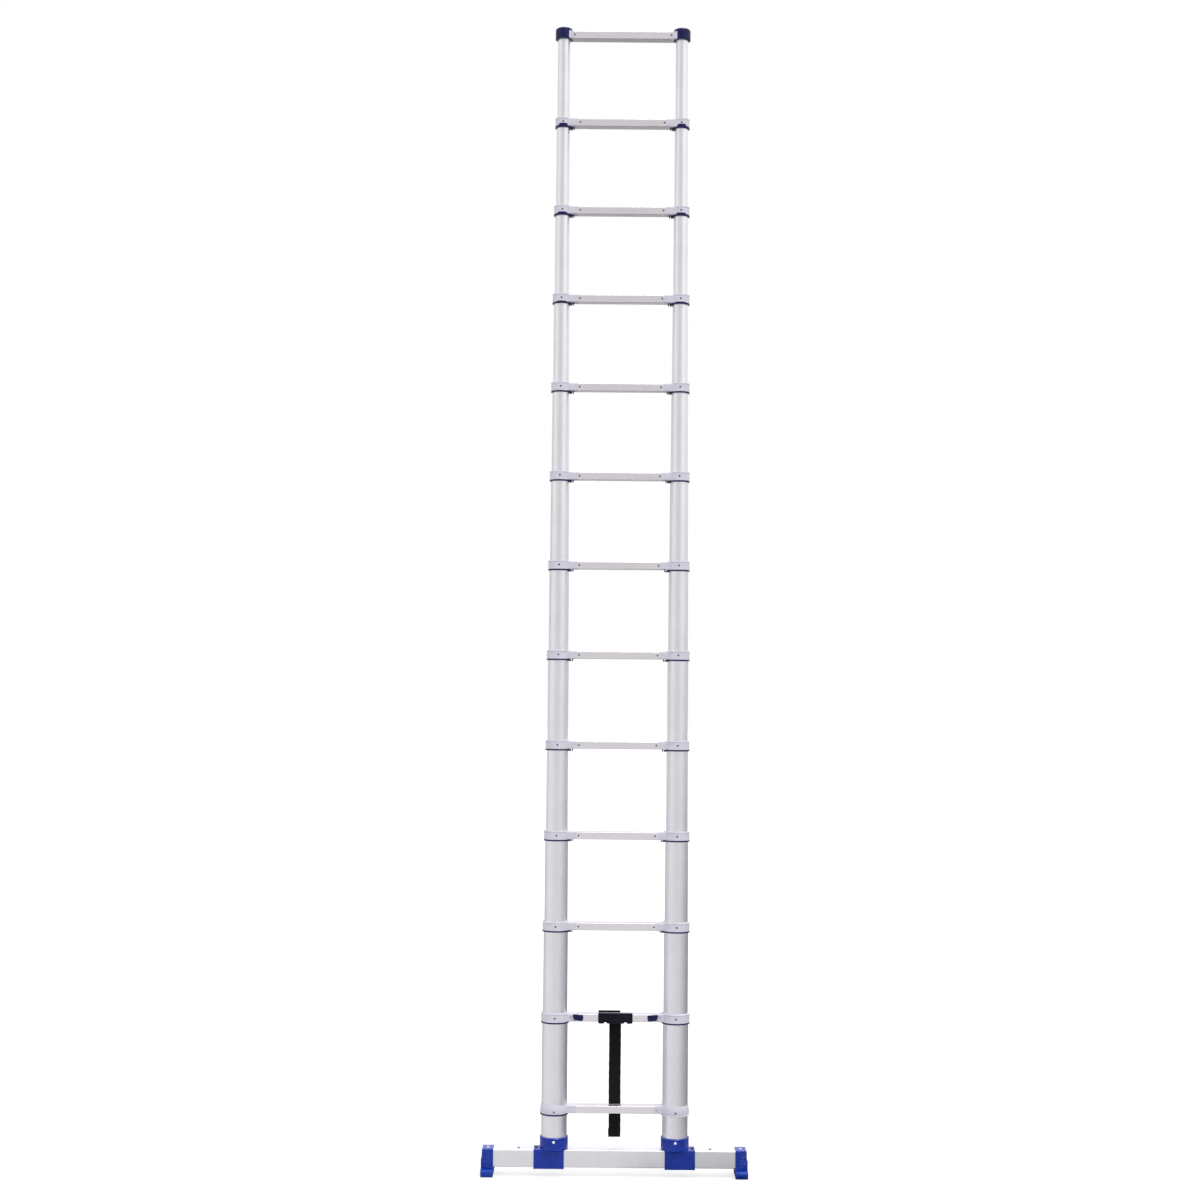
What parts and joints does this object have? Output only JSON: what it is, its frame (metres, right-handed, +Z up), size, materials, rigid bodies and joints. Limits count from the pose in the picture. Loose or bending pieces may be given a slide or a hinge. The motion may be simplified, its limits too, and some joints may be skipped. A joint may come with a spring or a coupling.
{
  "type": "telescoping ladder",
  "caption": "Leaning telescoping ladder of nested aluminium tube sections, each with a rung, that lock when drawn out and collapse one by one onto a wide stabiliser bar with feet.",
  "frame": {"origin": "on the floor under the middle of the stabiliser bar, midway between the feet and between toe and heel", "axes": "+Z up along the stiles, +X across the rungs, -Y towards the climber"},
  "size_m": [0.879, 0.11, 3.846],
  "materials": {
    "stile_aluminium": "clear anodised, satin",
    "rung_aluminium": "clear anodised, satin",
    "collar_plastic": "moulded, light silver grey",
    "blue_plastic": "moulded, royal blue, slight gloss",
    "navy_plastic": "moulded, navy, slight gloss",
    "black_plastic": "moulded, black, fine texture",
    "webbing": "woven polyester webbing, black",
    "fastener_steel": "zinc plated"
  },
  "bodies": {
    "base": {"stabiliser_bar": "stile_aluminium", "foot_left": "blue_plastic", "foot_right": "blue_plastic", "base_bracket_left": "blue_plastic", "base_bracket_right": "blue_plastic", "base_screws": "fastener_steel", "bottom_tubes": "stile_aluminium", "rung_1": "rung_aluminium", "rung_collars_1": "collar_plastic", "rung_2": "rung_aluminium", "rung_collars_2": "collar_plastic", "strap_holder": "black_plastic", "closure_strap": "webbing"},
    "release_left": {"release_button_left": "navy_plastic", "lock_pin_left": "fastener_steel"},
    "release_right": {"release_button_right": "navy_plastic", "lock_pin_right": "fastener_steel"},
    "section_3": {"stile_tubes_3": "stile_aluminium", "rung_3": "rung_aluminium", "rung_collars_3": "collar_plastic"},
    "triggers_3": {"release_triggers_3": "navy_plastic"},
    "section_4": {"stile_tubes_4": "stile_aluminium", "rung_4": "rung_aluminium", "rung_collars_4": "collar_plastic"},
    "triggers_4": {"release_triggers_4": "navy_plastic"},
    "section_5": {"stile_tubes_5": "stile_aluminium", "rung_5": "rung_aluminium", "rung_collars_5": "collar_plastic"},
    "triggers_5": {"release_triggers_5": "navy_plastic"},
    "section_6": {"stile_tubes_6": "stile_aluminium", "rung_6": "rung_aluminium", "rung_collars_6": "collar_plastic"},
    "triggers_6": {"release_triggers_6": "navy_plastic"},
    "section_7": {"stile_tubes_7": "stile_aluminium", "rung_7": "rung_aluminium", "rung_collars_7": "collar_plastic"},
    "triggers_7": {"release_triggers_7": "navy_plastic"},
    "section_8": {"stile_tubes_8": "stile_aluminium", "rung_8": "rung_aluminium", "rung_collars_8": "collar_plastic"},
    "triggers_8": {"release_triggers_8": "navy_plastic"},
    "section_9": {"stile_tubes_9": "stile_aluminium", "rung_9": "rung_aluminium", "rung_collars_9": "collar_plastic"},
    "triggers_9": {"release_triggers_9": "navy_plastic"},
    "section_10": {"stile_tubes_10": "stile_aluminium", "rung_10": "rung_aluminium", "rung_collars_10": "collar_plastic"},
    "triggers_10": {"release_triggers_10": "navy_plastic"},
    "section_11": {"stile_tubes_11": "stile_aluminium", "rung_11": "rung_aluminium", "rung_collars_11": "collar_plastic"},
    "triggers_11": {"release_triggers_11": "navy_plastic"},
    "section_12": {"stile_tubes_12": "stile_aluminium", "rung_12": "rung_aluminium", "rung_collars_12": "collar_plastic"},
    "triggers_12": {"release_triggers_12": "navy_plastic"},
    "section_13": {"stile_tubes_13": "stile_aluminium", "rung_13": "rung_aluminium", "top_caps": "navy_plastic"}
  },
  "joints": [
    {"name": "slide_3", "type": "slide", "parent": "base", "child": "section_3", "axis": [0, 0, 1], "range_m": [-0.263, 0]},
    {"name": "slide_4", "type": "slide", "parent": "section_3", "child": "section_4", "axis": [0, 0, 1], "range_m": [-0.263, 0]},
    {"name": "slide_5", "type": "slide", "parent": "section_4", "child": "section_5", "axis": [0, 0, 1], "range_m": [-0.263, 0]},
    {"name": "slide_6", "type": "slide", "parent": "section_5", "child": "section_6", "axis": [0, 0, 1], "range_m": [-0.263, 0]},
    {"name": "slide_7", "type": "slide", "parent": "section_6", "child": "section_7", "axis": [0, 0, 1], "range_m": [-0.263, 0]},
    {"name": "slide_8", "type": "slide", "parent": "section_7", "child": "section_8", "axis": [0, 0, 1], "range_m": [-0.263, 0]},
    {"name": "slide_9", "type": "slide", "parent": "section_8", "child": "section_9", "axis": [0, 0, 1], "range_m": [-0.263, 0]},
    {"name": "slide_10", "type": "slide", "parent": "section_9", "child": "section_10", "axis": [0, 0, 1], "range_m": [-0.263, 0]},
    {"name": "slide_11", "type": "slide", "parent": "section_10", "child": "section_11", "axis": [0, 0, 1], "range_m": [-0.263, 0]},
    {"name": "slide_12", "type": "slide", "parent": "section_11", "child": "section_12", "axis": [0, 0, 1], "range_m": [-0.263, 0]},
    {"name": "slide_13", "type": "slide", "parent": "section_12", "child": "section_13", "axis": [0, 0, 1], "range_m": [-0.263, 0]},
    {"name": "trigger_3", "type": "slide", "parent": "section_3", "child": "triggers_3", "axis": [0, 0, 1], "range_m": [0, 0.005], "stiffness_N_per_m": 150, "springref_m": -0.006},
    {"name": "trigger_4", "type": "slide", "parent": "section_4", "child": "triggers_4", "axis": [0, 0, 1], "range_m": [0, 0.005], "stiffness_N_per_m": 150, "springref_m": -0.006},
    {"name": "trigger_5", "type": "slide", "parent": "section_5", "child": "triggers_5", "axis": [0, 0, 1], "range_m": [0, 0.005], "stiffness_N_per_m": 150, "springref_m": -0.006},
    {"name": "trigger_6", "type": "slide", "parent": "section_6", "child": "triggers_6", "axis": [0, 0, 1], "range_m": [0, 0.005], "stiffness_N_per_m": 150, "springref_m": -0.006},
    {"name": "trigger_7", "type": "slide", "parent": "section_7", "child": "triggers_7", "axis": [0, 0, 1], "range_m": [0, 0.005], "stiffness_N_per_m": 150, "springref_m": -0.006},
    {"name": "trigger_8", "type": "slide", "parent": "section_8", "child": "triggers_8", "axis": [0, 0, 1], "range_m": [0, 0.005], "stiffness_N_per_m": 150, "springref_m": -0.006},
    {"name": "trigger_9", "type": "slide", "parent": "section_9", "child": "triggers_9", "axis": [0, 0, 1], "range_m": [0, 0.005], "stiffness_N_per_m": 150, "springref_m": -0.006},
    {"name": "trigger_10", "type": "slide", "parent": "section_10", "child": "triggers_10", "axis": [0, 0, 1], "range_m": [0, 0.005], "stiffness_N_per_m": 150, "springref_m": -0.006},
    {"name": "trigger_11", "type": "slide", "parent": "section_11", "child": "triggers_11", "axis": [0, 0, 1], "range_m": [0, 0.005], "stiffness_N_per_m": 150, "springref_m": -0.006},
    {"name": "trigger_12", "type": "slide", "parent": "section_12", "child": "triggers_12", "axis": [0, 0, 1], "range_m": [0, 0.005], "stiffness_N_per_m": 150, "springref_m": -0.006},
    {"name": "release_left", "type": "slide", "parent": "base", "child": "release_left", "axis": [1, 0, 0], "range_m": [0, 0.01], "stiffness_N_per_m": 300, "springref_m": -0.006},
    {"name": "release_right", "type": "slide", "parent": "base", "child": "release_right", "axis": [-1, 0, 0], "range_m": [0, 0.01], "stiffness_N_per_m": 300, "springref_m": -0.006}
  ]
}
